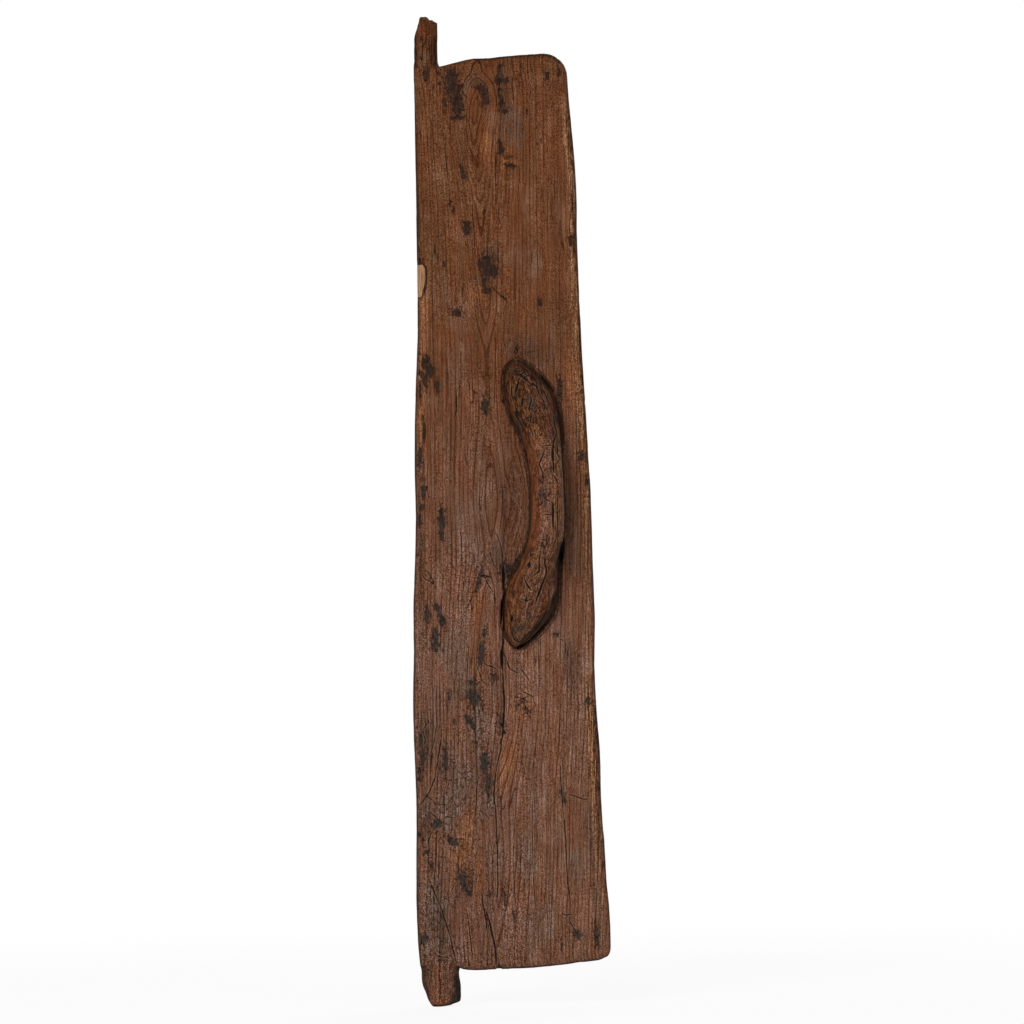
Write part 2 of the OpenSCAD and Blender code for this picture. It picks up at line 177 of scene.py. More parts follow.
class Finish:
    # a material in the making: fields, noises and colours by short names
    def __init__(self, name, tints=None):
        self.tints, self.colour = tints, None
        self.material = bpy.data.materials.new(name)
        self.material.use_nodes = True
        self.tree = self.material.node_tree
        self.tree.nodes.clear()
        place = self.node("ShaderNodeTexCoord", output="Object")
        scaled = self.node("ShaderNodeVectorMath", {"operation": "SCALE"}, {0: place, "Scale": 1 / mm})
        self.x, self.y, self.z = (self.node("ShaderNodeSeparateXYZ", {}, {0: scaled}, i) for i in range(3))

    def node(self, kind, settings=None, inputs=None, output=0):
        return addNode(self.tree, kind, settings, inputs, output)

    def field(self, name):
        return self.node("ShaderNodeAttribute", {"attribute_name": name}, output="Fac")

    def ramp(self, value, low, high):
        # 0 below low and 1 above high, or the other way round
        return self.node("ShaderNodeMapRange", {"interpolation_type": "SMOOTHSTEP"},
                         {"Value": value, "From Min": low, "From Max": high})

    def noise(self, x, y, z, detail=2.0, roughness=0.5):
        place = self.node("ShaderNodeCombineXYZ", {}, {0: x, 1: y, 2: z})
        return self.node("ShaderNodeTexNoise", {}, {
            "Vector": place, "Scale": 1.0, "Detail": detail, "Roughness": roughness})

    def grain(self, wide, tall, detail=2.0, roughness=0.5):
        # a noise whose marks are about so many millimetres wide and tall
        return self.noise(self.x / wide, self.y / wide, self.z / tall, detail, roughness)

    def marks(self, wide, tall, detail, roughness, low, high):
        # the same noise, drawn apart to 0 and 1
        return self.ramp(self.grain(wide, tall, detail, roughness), low, high)

    def cells(self, x, y, z):
        # distance to the nearest border of irregular cells
        place = self.node("ShaderNodeCombineXYZ", {}, {0: x, 1: y, 2: z})
        return self.node("ShaderNodeTexVoronoi", {"feature": "DISTANCE_TO_EDGE"},
                         {"Vector": place, "Scale": 1.0})

    def larger(self, first, second):
        return first.maths("MAXIMUM", first, second)

    def mix(self, first, second, share):
        return self.node("ShaderNodeMix", {"data_type": "RGBA"}, {0: share, 6: first, 7: second}, 2)

    def paint(self, name, blend=0.0):
        # the finish's own colour of that name, or a mix where there are two
        values = self.tints[name]
        first = tint(*values[:3])
        return self.mix(first, tint(*values[3:]), blend) if values[3:] else first

    def lay(self, paint, share):
        # a colour, given or by its name, over what there is
        paint = self.paint(paint) if isinstance(paint, str) else paint
        self.colour = self.mix(self.colour, paint, share)

    def dim(self, colour, share):
        return self.node("ShaderNodeVectorMath", {"operation": "SCALE"}, {0: colour, "Scale": share})

    def shade(self, colour, tone):
        # dims or lightens as this wood does: redder where it is dark, greyer where it is light
        scale = self.node("ShaderNodeCombineXYZ", {}, {0: tone, 1: tone ** 1.32, 2: tone ** 1.7})
        return self.node("ShaderNodeVectorMath", {"operation": "MULTIPLY"}, {0: colour, 1: scale})

    def crackShares(self, ragged, lipReach, crackReach):
        # where the pale lip beside a crack shows, worn wood with a painted highlight on its raised edge, and
        # where the crack itself does
        off = abs(self.field("seam") + ragged)
        wide = self.field("seamWide")
        split = self.ramp(wide, 0.1, 0.4)
        share = off / (wide + 0.01)
        lipWearAndHighlight = self.ramp(share, 0.9, 1.3) * (1 - self.ramp(off - wide, *lipReach)) * split
        return lipWearAndHighlight, (1 - self.ramp(share, *crackReach)) * split

    def close(self, rough, height, depth, gloss=0.06):
        # the surface: colour, roughness, and a bump of the given depth in millimetres
        bump = self.node("ShaderNodeBump", {}, {"Height": height, "Distance": depth * mm, "Strength": 1.0})
        skin = self.node("ShaderNodeBsdfPrincipled", {}, {
            "Base Color": self.colour, "Roughness": rough, "Normal": bump, "Specular IOR Level": gloss})
        self.node("ShaderNodeOutputMaterial", {}, {"Surface": skin})
        return self.material


def makeFloor():
    bpy.ops.mesh.primitive_plane_add(size=studio["floorSize"], location=(0, 0, studio["floorZ"]))
    floor = bpy.context.active_object
    floor.name = "studio_floor"
    bpy.ops.object.transform_apply(location=True, rotation=True, scale=True)
    material = bpy.data.materials.new("studio_white")
    material.use_nodes = True
    tree = material.node_tree
    tree.nodes.clear()
    seen = seenRay(tree)
    place = addNode(tree, "ShaderNodeTexCoord", output="Object")
    reach = addNode(tree, "ShaderNodeVectorMath", {"operation": "LENGTH"}, {0: place}, "Value")
    far = addNode(tree, "ShaderNodeMapRange", {}, {
        "Value": reach, "From Min": studio["shadowStart"], "From Max": studio["shadowReach"],
        "To Min": studio["floorWhite"], "To Max": 1.0})
    paint = addNode(tree, "ShaderNodeBsdfDiffuse", {}, {"Color": studio["floorPaint"]})
    glow = addNode(tree, "ShaderNodeEmission", {}, {"Color": (1, 1, 1, 1), "Strength": 1.0})
    both = addNode(tree, "ShaderNodeMixShader", {}, {0: seen * far, 1: paint, 2: glow})
    addNode(tree, "ShaderNodeOutputMaterial", {}, {"Surface": both})
    floor.data.materials.append(material)


def seenRay(tree):
    # 1 for what the camera sees, also in gloss or through glass
    rays = [addNode(tree, "ShaderNodeLightPath", output=name)
            for name in ("Is Camera Ray", "Is Glossy Ray", "Is Transmission Ray")]
    return addNode(tree, "ShaderNodeMath", {"operation": "ADD", "use_clamp": True},
                   {0: rays[0] + rays[1], 1: rays[2]})


def makeWorld():
    world = bpy.data.worlds.new("studio_world")
    world.use_nodes = True
    bpy.context.scene.world = world
    tree = world.node_tree
    tree.nodes.clear()
    seen = seenRay(tree)
    strength = studio["world"] + (1 - studio["world"]) * seen
    sky = addNode(tree, "ShaderNodeBackground", {}, {"Color": (1, 1, 1, 1), "Strength": strength})
    addNode(tree, "ShaderNodeOutputWorld", {}, {"Surface": sky})


makeFloor()
makeWorld()
bpy.context.scene.view_settings.view_transform = "Standard"
print("floor and world made")


# Modelling helpers: meshes are read and written in millimetres

def choose(piece):
    bpy.ops.object.select_all(action="DESELECT")
    piece.select_set(True)
    bpy.context.view_layer.objects.active = piece


def editAll(piece, operator, **settings):
    # one edit-mode operator on the whole mesh
    choose(piece)
    bpy.ops.object.mode_set(mode="EDIT")
    bpy.ops.mesh.select_all(action="SELECT")
    operator(**settings)
    bpy.ops.object.mode_set(mode="OBJECT")


def copyOfNode(node, name):
    piece = bpy.data.objects.new(name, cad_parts[node].data.copy())
    bpy.context.collection.objects.link(piece)
    piece.data.materials.clear()
    choose(piece)
    bpy.ops.mesh.customdata_custom_splitnormals_clear()
    editAll(piece, bpy.ops.mesh.remove_doubles, threshold=0.01 * mm)
    return piece


def stretch(piece, factor):
    editAll(piece, bpy.ops.transform.resize, value=(1, 1, factor), center_override=(0, 0, 0))


def reskin(piece, voxel, tall=1.0):
    # an even skin of small faces, each taller than it is wide
    stretch(piece, 1 / tall)
    skin = piece.modifiers.new("skin", "REMESH")
    skin.mode = "VOXEL"
    skin.voxel_size = voxel * mm
    skin.use_smooth_shade = True
    choose(piece)
    bpy.ops.object.modifier_apply(modifier=skin.name)
    stretch(piece, tall)


def relax(piece, times, factor=0.5):
    smooth = piece.modifiers.new("relax", "SMOOTH")
    smooth.iterations = times
    smooth.factor = factor
    choose(piece)
    bpy.ops.object.modifier_apply(modifier=smooth.name)


def readPoints(piece):
    flat = np.empty(len(piece.data.vertices) * 3, np.float32)
    piece.data.vertices.foreach_get("co", flat)
    return flat.reshape(-1, 3).astype(float) / mm


def writePoints(piece, points):
    piece.data.vertices.foreach_set("co", (points * mm).astype(np.float32).ravel())
    piece.data.update()


def readNormals(piece):
    flat = np.empty(len(piece.data.vertices) * 3, np.float32)
    piece.data.vertex_normals.foreach_get("vector", flat)
    return flat.reshape(-1, 3).astype(float)


def keepFields(piece, fields):
    # what a material reads at each point of the mesh
    for name, values in fields.items():
        made = piece.data.attributes.new(name, "FLOAT", "POINT")
        made.data.foreach_set("value", values.astype(np.float32))


def rise(values, low, high):
    t = np.clip((values - low) / (high - low), 0, 1)
    return t * t * (3 - 2 * t)


def drift(points, cell, seed):
    # smooth random field from -1 to 1, with cells of the given size along x, y and z
    size, shift, steps = 8192, 17.31, (73856093, 19349663, 83492791)
    table = np.random.default_rng(seed).uniform(-1, 1, size)
    place = points / np.array(cell, float) + shift * seed
    low = np.floor(place).astype(np.int64)
    part = place - low
    part = part * part * (3 - 2 * part)
    total = np.zeros(len(points))
    for corner in range(8):
        step = np.array([corner & 1, corner >> 1 & 1, corner >> 2 & 1])
        spot = (low + step) * steps
        key = (spot[:, 0] ^ spot[:, 1] ^ spot[:, 2]) & (size - 1)
        total += table[key] * np.where(step, part, 1 - part).prod(1)
    return total


def course(run, place):
    # a gentle curve through (place, value) pairs
    places, values = (np.array(column, float) for column in zip(*run))
    i = np.clip(np.searchsorted(places, place) - 1, 0, len(places) - 2)
    t = rise(place, places[i], places[i + 1])
    return values[i] + (values[i + 1] - values[i]) * t


farOff = 1e6


def nearLine(points, line):
    # signed distance to a broken line of (x, z) points, how far along it lies, and its length
    best = np.full(len(points), farOff)
    along = np.zeros(len(points))
    length = 0.0
    for (x0, z0), (x1, z1) in zip(line, line[1:]):
        run = math.hypot(x1 - x0, z1 - z0)
        dx, dz = (x1 - x0) / run, (z1 - z0) / run
        px, pz = points[:, 0] - x0, points[:, 2] - z0
        t = np.clip(px * dx + pz * dz, 0, run)
        off = np.hypot(px - t * dx, pz - t * dz)
        closer = off < np.abs(best)
        best[closer] = np.where(px * dz - pz * dx < 0, off, -off)[closer]
        along[closer] = length + t[closer]
        length += run
    return best, along, length


def spots(points, places):
    # 1 in the middle of each tilted oval, 0.4 on its edge, falling to -1 further out
    value = np.full(len(points), -1.0)
    for x, z, width, height, *tilt in places:
        turn = math.radians(sum(tilt))
        c, s = math.cos(turn), math.sin(turn)
        du = ((points[:, 0] - x) * c + (points[:, 2] - z) * s) / (width / 2)
        dv = ((points[:, 2] - z) * c - (points[:, 0] - x) * s) / (height / 2)
        value = np.maximum(value, 1 - 0.6 * np.hypot(du, dv))
    return value


# distances: none near, the farthest kept, the thinning ends; shares of the width: all, its waver, the dip
crackLook = {"none": 20.0, "kept": 8, "ends": 14, "width": 0.8, "waver": 0.35, "sink": 0.55}


def crackField(points, lines, show):
    # signed distance to the nearest crack and its half width there, and how far the cracks sink the face
    seam = np.full(len(points), crackLook["none"])
    seamWide, sink = np.zeros(len(points)), np.zeros(len(points))
    waver = crackLook["width"] + crackLook["waver"] * drift(points, (400, 400, 14), 18)
    for width, depth, flat in ((w, d, flat) for w, d, *group in lines for flat in group):
        off, along, length = nearLine(points, list(zip(flat[::2], flat[1::2])))
        taper = np.minimum(1, np.minimum(along, length - along) / min(crackLook["ends"], length / 3))
        wide = width * taper * show * waver
        sink = np.maximum(sink, depth * taper * show * np.exp(-(off / (crackLook["sink"] * width)) ** 2))
        closer = np.abs(off) - wide < np.abs(seam) - seamWide
        seam, seamWide = np.where(closer, off, seam), np.where(closer, wide, seamWide)
    return np.clip(seam, -crackLook["kept"], crackLook["kept"]), seamWide, sink


def fromHandle(points):
    # distance in front view from the handle's outline, less than 0 within it
    heights, low, high = handleEdges
    outline = list(zip(low, heights)) + list(zip(high[::-1], heights[::-1]))
    x, z = points[:, 0], points[:, 2]
    off = np.abs(nearLine(points, outline + outline[:1])[0])
    within = (x > np.interp(z, heights, low)) & (x < np.interp(z, heights, high))
    within &= (z > heights[0]) & (z < heights[-1])
    return np.where(within, -off, off)


def sideEdges(node, step):
    # the node's least and greatest x in millimetres at each height
    co = np.array([v.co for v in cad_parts[node].data.vertices]) / mm
    edges = np.array([e.vertices[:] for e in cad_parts[node].data.edges])
    first, last = co[edges[:, 0]], co[edges[:, 1]]
    heights = np.arange(co[:, 2].min() + 0.1, co[:, 2].max(), step)
    low, high = np.empty(len(heights)), np.empty(len(heights))
    for i, z in enumerate(heights):
        across = (first[:, 2] - z) * (last[:, 2] - z) <= 0
        across &= first[:, 2] != last[:, 2]
        t = (z - first[across, 2]) / (last[across, 2] - first[across, 2])
        x = first[across, 0] + t * (last[across, 0] - first[across, 0])
        low[i], high[i] = x.min(), x.max()
    return heights, low, high


leafEdges = sideEdges("leaf", 4.0)
handleEdges = sideEdges("handle", 3.0)
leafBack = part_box("leaf")[1].y / mm
leafFront = -leafBack
leafTop = 990


# The leaf: one hewn plank with its pivots

leafLook = {
    "voxel": 1.35,
    "tall": 2.5,
    "ring": 3.7,  # distance between growth rings
    "hewn": 0.5,  # slow rise and fall of the hewn front
    "uneven": 0.22,
    "rough": 0.14,
    "adze": 0.8,  # depth of the adze marks on the back
    "adzePitch": 46,
    "grain": 0.16,  # how far the harder rings stand out
    "chips": 1.1,  # how deep the arrises are chipped
    "smallChips": 0.8,
    "stained": 0.5,  # how deep the stains lie
    "stainedEdge": 6,  # width of the free edge on which stains run round the arris
    "toe": 1.9,  # how far the toe is worn askew
    "toeBulge": 1.0,
    "toeRise": 1.8,
    "tipLean": 0.8,
    "tipRise": 2.6,
    "dirt": 1.8,  # depth left open in the joint round the handle's feet
    "jointOpen": 6,  # how much deeper it is where it lies open
    "backFrom": 8,  # how far back the faces grow larger, and the share of them that is kept
    "backShare": 0.4,
}

# its colours, from 0 to 255; where there are two in a row, a noise mixes them
leafTints = {
    "reddish": (114, 66, 39, 102, 67, 42), "greyish": (129, 84, 62, 118, 87, 70), "bare": (146, 90, 52),
    "dull": (72, 54, 43), "dusty": (112, 84, 66, 118, 95, 81), "scratch": (140, 104, 76),
    "flake": (150, 118, 96), "outer": (104, 70, 47, 166, 119, 82), "hinge": (146, 90, 60),
    "stain": (46, 32, 26, 64, 46, 38), "greyStain": (40, 37, 35, 78, 70, 66), "net": (30, 20, 14),
    "lipWearAndHighlight": (158, 124, 100), "crack": (22, 14, 10), "grimeAndShade": (26, 18, 13, 58, 43, 32), "deepShade": (18, 12, 9),
}

# the plank's heart: height, where it lies across, and how deep behind the front
heartX = [
    (-60, 40), (0, 42), (150, 48), (300, 55), (510, 64), (710, 61), (850, 57), (915, 51), (965, 56),
    (1060, 60),
]
heartDepth = [
    (-60, 30), (0, 28), (75, 24), (185, 30), (295, 26), (405, 30), (450, 34), (515, 30), (625, 36),
    (670, 36), (735, 30), (780, 27), (830, 24), (850, 20), (885, 14), (915, 9), (932, 6), (949, 5),
    (965, 10), (987, 24), (1010, 34), (1060, 46),
]
# where the heart would lie for the straight outer rings
straightX = heartX[:4] + [(510, 61), (1060, 61)]
straightDepth = 28
# where the long crack runs, and how far the grain right of it leans over towards it
crackX = [(-60, 62), (75, 62.5), (228, 67.3), (306, 73.8), (408, 77), (1060, 78)]
grainLean = [(-60, 24), (0, 22), (180, 18), (300, 0), (1060, 0)]

# dark stains, each an oval: x, z, width, height and, if it leans, its tilt in degrees
stains = [
    (28, 981, 10, 11), (28.5, 974, 13, 12), (31, 966, 13, 11), (33, 956, 11, 16), (34, 945, 10, 12),
    (34, 934, 16, 4), (20, 950, 3, 12), (25, 964, 3, 8), (62, 964, 8, 8, 20), (65, 953, 7, 12),
    (59, 966, 6, 3), (53, 968, 4, 2), (83, 974, 14, 5), (79, 973, 6, 6), (82, 990, 7, 3), (80, 983, 3, 7),
    (80, 963, 5, 3), (82, 956, 5, 4), (83, 948, 7, 4), (85, 940, 9, 4), (133, 978, 4, 8), (146, 982, 3, 9),
    (81, 898, 5, 9), (80, 905, 3, 6), (97, 888, 14, 2, -8), (91, 880, 13, 4, -12), (88, 878, 6, 3),
    (38, 877, 3, 11, 20), (40, 869, 5, 5), (110, 938, 2, 7), (24, 840, 3, 6, -30), (28, 834, 2, 8),
    (42, 811, 7, 9), (42, 817, 9, 4), (7, 790, 2, 9), (17, 774, 2, 7), (63, 778, 10, 8), (57, 772, 6, 8),
    (66, 768, 13, 11), (71, 763, 7, 7), (66, 761, 10, 4), (60, 752, 4, 10), (63, 743, 7, 7),
    (121, 730, 4, 8), (30, 720, 8, 7), (33, 717, 4, 4), (156, 797, 4, 9), (0, 981, 5, 11), (-5, 664, 8, 14),
    (-1, 655, 9, 11, -30), (-8, 648, 5, 18, 20), (-12, 636, 3, 18), (-12.5, 678, 3, 14), (-8, 590, 2.5, 20),
    (-13.5, 561, 5, 20), (-10, 525, 5, 16), (-12.5, 507, 6, 6), (-15, 493, 4, 10), (7, 640, 4, 11),
    (59.5, 617, 6, 15), (10, 492, 6, 20), (9.5, 478, 5, 12), (141, 632, 5, 22), (164, 560, 4, 10),
    (169, 533, 3, 8), (4, 394, 5, 14, 25), (8, 383, 6, 13, 15), (1, 366, 6, 14), (0, 355, 8, 8),
    (-8, 388, 4, 20), (50, 427, 4, 26, -18), (54, 368, 3, 9), (51, 349, 6, 16), (49, 337, 4, 9),
    (40, 314, 9, 4), (41, 299, 10, 9), (43, 293, 7, 8, 20), (37, 302, 7, 4), (65, 319, 4, 8, 15),
    (15, 297, 2, 8), (20, 272, 3, 4), (36, 273, 7, 8), (33, 277, 6, 4), (41, 266, 4, 7), (71, 270, 5, 11),
    (132, 365, 6, 4), (167, 291, 4, 7), (-17, 250, 3, 12), (-15, 233, 4, 13), (-19, 213, 3, 12),
    (10, 229, 4, 18), (53, 229, 8, 11), (52, 219, 7, 7), (57, 204, 6, 10), (55, 194, 3, 7),
    (136, 191, 4, 8), (139, 182, 3, 8), (0, 160, 10, 7), (-4, 156, 5, 5), (-21, 148, 4, 8),
    (16, 140, 12, 6, -30), (-12, 129, 7, 4), (-8, 114, 4, 7), (27, 97, 6, 13), (24, 101, 5, 6),
    (29, 89, 4, 8), (33, 83, 4, 6), (56, 81, 4, 5), (72, 77, 2, 14), (82, 58, 2, 14), (3, 59, 3, 12, -15),
    (-16, 34, 6, 9), (-19, 30, 5, 4), (152, 36, 6, 8), (148, 39, 4, 4), (172, 35, 4, 18), (134, 24, 2, 10),
    (17, -18, 6, 10), (18, -29, 7, 20), (13, -34, 5, 10), (166, 846, 2, 18), (163, 872, 2, 10),
    (158, 838, 1.6, 22), (-11, 790, 3, 8), (-10, 778, 3, 6), (177.5, 250, 3.4, 24), (175.5, 277, 2.6, 14),
    (180, 222, 2.6, 12), (178, 196, 4, 10), (80, 436, 11, 14, -30), (97, 286, 3, 4), (101, 281, 4, 3),
    (90, 287, 3, 5), (95, 293, 5, 3), (-11, 1023, 2, 6), (-12, 1008, 2.4, 9), (-5, 1022, 2, 5),
    (0, 1018, 2, 4), (5, 1012, 2, 6), (-3, 1013, 2, 4), (6, 1000, 2, 5), (2, 993, 2, 4), (-5, 999, 2, 4),
    (0, 10, 6, 5), (14, 983, 3, 4), (15, 972, 3, 3), (8, 968, 2, 4),
]

# places rubbed down to the orange wood, places gone dark and places gone grey, in the same terms
scrapes = [
    (80, 222, 14, 60, -12), (74, 236, 9, 30, -14), (68, 208, 7, 34), (29, 142, 15, 70), (96, 286, 24, 30),
    (48, 318, 14, 22), (13, 262, 7, 26), (90, 897, 6, 9), (47, 400, 12, 46), (56, 340, 6, 40),
    (44, 100, 8, 50), (54, 740, 12, 16), (155, 640, 8, 80), (32, 166, 22, 50), (24, 118, 26, 40),
    (-2, -37, 30, 8, -8), (-9, -26, 7, 20, 15), (62, 905, 14, 24), (88, 882, 20, 8),
]
darkened = [
    (-14, 250, 16, 70), (-14, 160, 16, 50), (-2, 60, 20, 60), (52, 207, 22, 50), (40, 304, 20, 24),
    (66, 766, 26, 44), (83, 962, 14, 50), (150, 330, 18, 50), (172, 150, 12, 100), (-14, 430, 10, 110),
    (8, 226, 14, 40), (104, 676, 40, 34), (72, 452, 16, 30), (78, 505, 6, 90), (148, 500, 8, 160),
    (28, 94, 18, 36), (95, 925, 22, 40, 20), (56, 973, 18, 14),
]
greyed = [
    (22, 196, 24, 50), (6, 170, 34, 28), (30, 316, 14, 30), (44, 262, 16, 40), (-6, 90, 14, 24),
    (52, 178, 16, 26), (96, 120, 16, 60), (0, 72, 16, 30), (110, 46, 24, 50), (18, 350, 30, 40),
    (30, 660, 30, 40), (104, 776, 30, 24), (40, 480, 30, 60), (-10, 30, 16, 40), (152, 110, 12, 40),
    (96, 918, 22, 34), (-3, 1002, 5, 26), (22, 206, 20, 22), (12, 740, 16, 40), (34, 714, 22, 26),
]

# how much of the pale outer wood shows at the free edge: height, share
sapFree = [
    (40, 0), (80, 0.4), (130, 0.7), (190, 0.9), (212, 1), (290, 1), (330, 0.4), (440, 0.35), (520, 0.8),
    (600, 1), (900, 1), (945, 0.5), (966, 0),
]

# cracks in the front: width, depth, then for each such crack the x and z of its points in turn
cracks = [
    (2.2, 3.6, [76, 446, 77.1, 408, 75.4, 362, 73, 343, 74, 322]), (1.5, 2.4, [74, 330, 74.4, 306, 75, 289,
    73.6, 268, 72, 248]), (1, 1.6, [72.5, 258, 70, 238, 66, 222, 64, 210]), (0.9, 1.2, [66.5, 224, 63, 205,
    62, 191, 64, 164, 65, 129, 65, 93, 63, 66]), (1.3, 2.6, [50, 68, 56, 47, 61, 20, 62, -2]), (0.8, 0.9,
    [46, 90, 47.7, 74, 51.9, 47, 53, 30]), (0.7, 0.9, [135, 231, 136, 196, 138, 168]), (0.9, 1.1, [138, 172,
    140, 141, 141, 100, 144, 70]), (0.8, 1.2, [-13, 106, -5, 84, 3, 65, 12, 34, 17, 10, 20, 0]), (0.9, 1.2,
    [6.2, 274, 4.8, 250, 1.1, 228, -2.5, 209, -8.2, 195, -22, 176]), (0.6, 0.8, [44, 246, 44, 208, 42, 170,
    42, 143]), (1.1, 1.2, [31.8, 642, 27.3, 632, 28.1, 613, 23.5, 600]), (0.8, 1, [51, 338, 53, 334, 62, 331,
    71, 325], [50, 336, 46, 330, 49, 323, 51, 315, 56, 312, 57, 308, 53, 309]), (0.7, 0.8, [77, 343, 81, 329,
    89, 324, 97, 325], [92, 337, 95, 327, 102, 316, 107, 309]), (0.9, 0.9, [87, 297, 91, 293, 96, 296,
    101, 292, 105, 293], [90, 282, 94, 277, 99, 280, 104, 274, 106, 268]), (0.8, 0.8, [98, 292, 97, 286,
    102, 284, 101, 278], [89, 292, 87, 286, 91, 281]), (0.7, 0.7, [84, 289, 88, 300, 97, 302, 106, 298,
    109, 288, 107, 276]), (0.8, 0.8, [130, 364, 136, 361, 143, 357, 143, 340], [133, 64, 137, 57, 144, 58,
    149, 55], [141, 53, 145, 46, 147, 42, 152, 38]), (0.7, 0.8, [138, 190, 149, 188, 160, 184, 172, 184],
    [27, 106, 23, 110, 20, 118], [31, 105, 38, 109, 43, 106], [21, 97, 17, 93, 13, 84], [1, 162, -6, 171,
    -14, 174], [3, 162, 10, 167, 22, 165], [-4, 154, -9, 146, -12, 133], [-14, 192, -7, 187, -1, 180,
    10, 181]), (0.8, 0.9, [89.6, 671, 93, 678, 97.5, 686]), (0.7, 0.7, [100, 684, 96, 677, 91, 669]),
    (0.7, 0.6, [103, 675, 117, 676]), (0.8, 0.8, [-13.5, 440, -6.6, 436, 1.5, 423]), (0.7, 0.7, [-18.5, 430,
    -12.2, 433.5, -10.4, 428.4, 2, 421.5, 2, 408]), (0.8, 0.8, [46.8, 427.5, 55.5, 431.3, 63, 429,
    64.7, 423.5]), (0.7, 0.6, [55, 399, 56.8, 387, 54.6, 374]), (0.6, 0.6, [-12, 8, -6, 13, 3, 13.5, 9, 12,
    14, 9]), (0.5, 0.6, [-6, 19, -3, 15, 4, 12.6, 10, 15]), (1.2, 0.8, [-14.5, 774, -8, 775.8, -4.4, 773,
    -3, 763, -3.1, 756, -4.2, 749, -6, 743, -7.4, 736, -12, 734]), (0.8, 1, [60.5, 474, 64, 480, 67, 482,
    72, 470, 75, 458, 77, 440]), (0.7, 0.8, [60.5, 474, 62, 455, 67, 440, 71, 436]), (0.8, 0.8, [54, 433,
    59, 421, 65.5, 413], [65, 749, 72, 744, 76, 740, 87, 733]), (0.7, 0.8, [72, 744, 80, 736, 88, 729]),
    (0.5, 0.8, [75.5, 900, 75, 880, 74.5, 855, 73.5, 825], [21, 926, 20, 898, 22, 872, 24, 850], [48, 849,
    50, 807, 51, 769], [102, 887, 100, 856, 96, 832], [72, 700, 71, 660, 69, 610]), (0.7, 0.8, [78, 984,
    81, 970, 79, 960, 82, 950, 81, 938], [91, 984, 96, 979, 94, 968, 96, 955, 95, 940], [65, 278, 69, 270,
    73, 262, 79, 268], [80, 262, 72, 254, 68, 246]), (0.7, 0.9, [2, 318, 0, 290, 0.7, 269, -3, 248,
    -10, 228]), (0.8, 0.9, [-12, 285, -8, 272, -15, 262, -12, 250, -18, 240]), (0.5, 0.6, [104, 190,
    103, 120, 106, 60], [85, 170, 82, 120, 84, 60]), (0.7, 0.8, [30, 70, 33, 40, 37, 5]), (2.6, 1.6,
    [10, 996, 11, 1016, 10, 1036]), (0.8, 0.8, [-9, 1036, -11, 1012, -11, 984]), (0.5, 0.6, [-3, 1030,
    -4, 1006, -2, 988]),
]

# places where the joint round the feet lies open and deep, in the stains' terms
openJoint = [
    (92, 604, 7, 20, 20), (108, 366, 44, 5, 42), (94, 354, 12, 6, 35), (80, 440, 6, 16, -25),
    (142, 459, 8, 32, -12), (128, 640, 26, 4, -52), (73, 400, 5, 40),
]

# painted shadow: black spots on the leaf where shade falls under the bar, beside its feet
shadowUnderBar = [
    (141, 457, 7, 32, -10), (93, 601, 6, 24, 24),
]


def underEdge(points):
    # height over the foot of the leaf, or over the end of the pivot there
    start, width = -40, 3
    column = np.floor((points[:, 0] - start) / width).astype(int)
    lowest = np.full(column.max() + 1, farOff)
    np.minimum.at(lowest, column, points[:, 2])
    middles = np.arange(len(lowest)) * width + start + width / 2
    return points[:, 2] - np.interp(points[:, 0], middles, lowest)


def wornEnds(points):
    # the toe worn askew, and the tip splintered
    x, z = points[:, 0], points[:, 2]
    worn = points.copy()
    worn[:, 0] += leafLook["toe"] * rise(z, -6, -24) * (0.35 + 0.65 * rise(x, -16, 6))
    worn[:, 0] += leafLook["toeBulge"] * rise(z, -14, -22) * rise(z, -34, -26) * rise(x, 0, -14)
    worn[:, 0] += leafLook["tipLean"] * rise(z, 1014, 1024) * rise(x, -14, 12)
    worn[:, 2] += leafLook["tipRise"] * rise(z, 1006, 1018) * rise(x, 3, 9)
    worn[:, 2] += leafLook["toeRise"] * rise(z, -34, -41) * rise(x, -6, 12)
    return worn


def heartRings(points):
    # which growth ring each point lies in, counted from the heart
    x, y, z = points.T
    right = x - course(crackX, z)
    x = x + course(grainLean, z) * np.exp(-np.abs(right) / 26) * rise(right, -1, 1)
    x = x + 0.7 * drift(points, (60, 60, 260), 3) + 0.2 * drift(points, (18, 18, 90), 4)
    outward = np.abs(x - course(heartX, z))
    near = np.exp(-(outward / 26) ** 2)
    across = np.abs(x - course(straightX, z) * (1 - near) - course(heartX, z) * near) + 0.01
    near = np.exp(-(outward / 40) ** 2)
    behind = np.abs(y - straightDepth * (1 - near) - course(heartDepth, z) * near - leafFront) + 0.01
    sharp = 1.35 + 0.65 * rise(y, leafFront + 3, leafFront + 16)  # pointed arches in the front face
    return (across ** sharp + behind ** sharp) ** (1 / sharp) / leafLook["ring"]


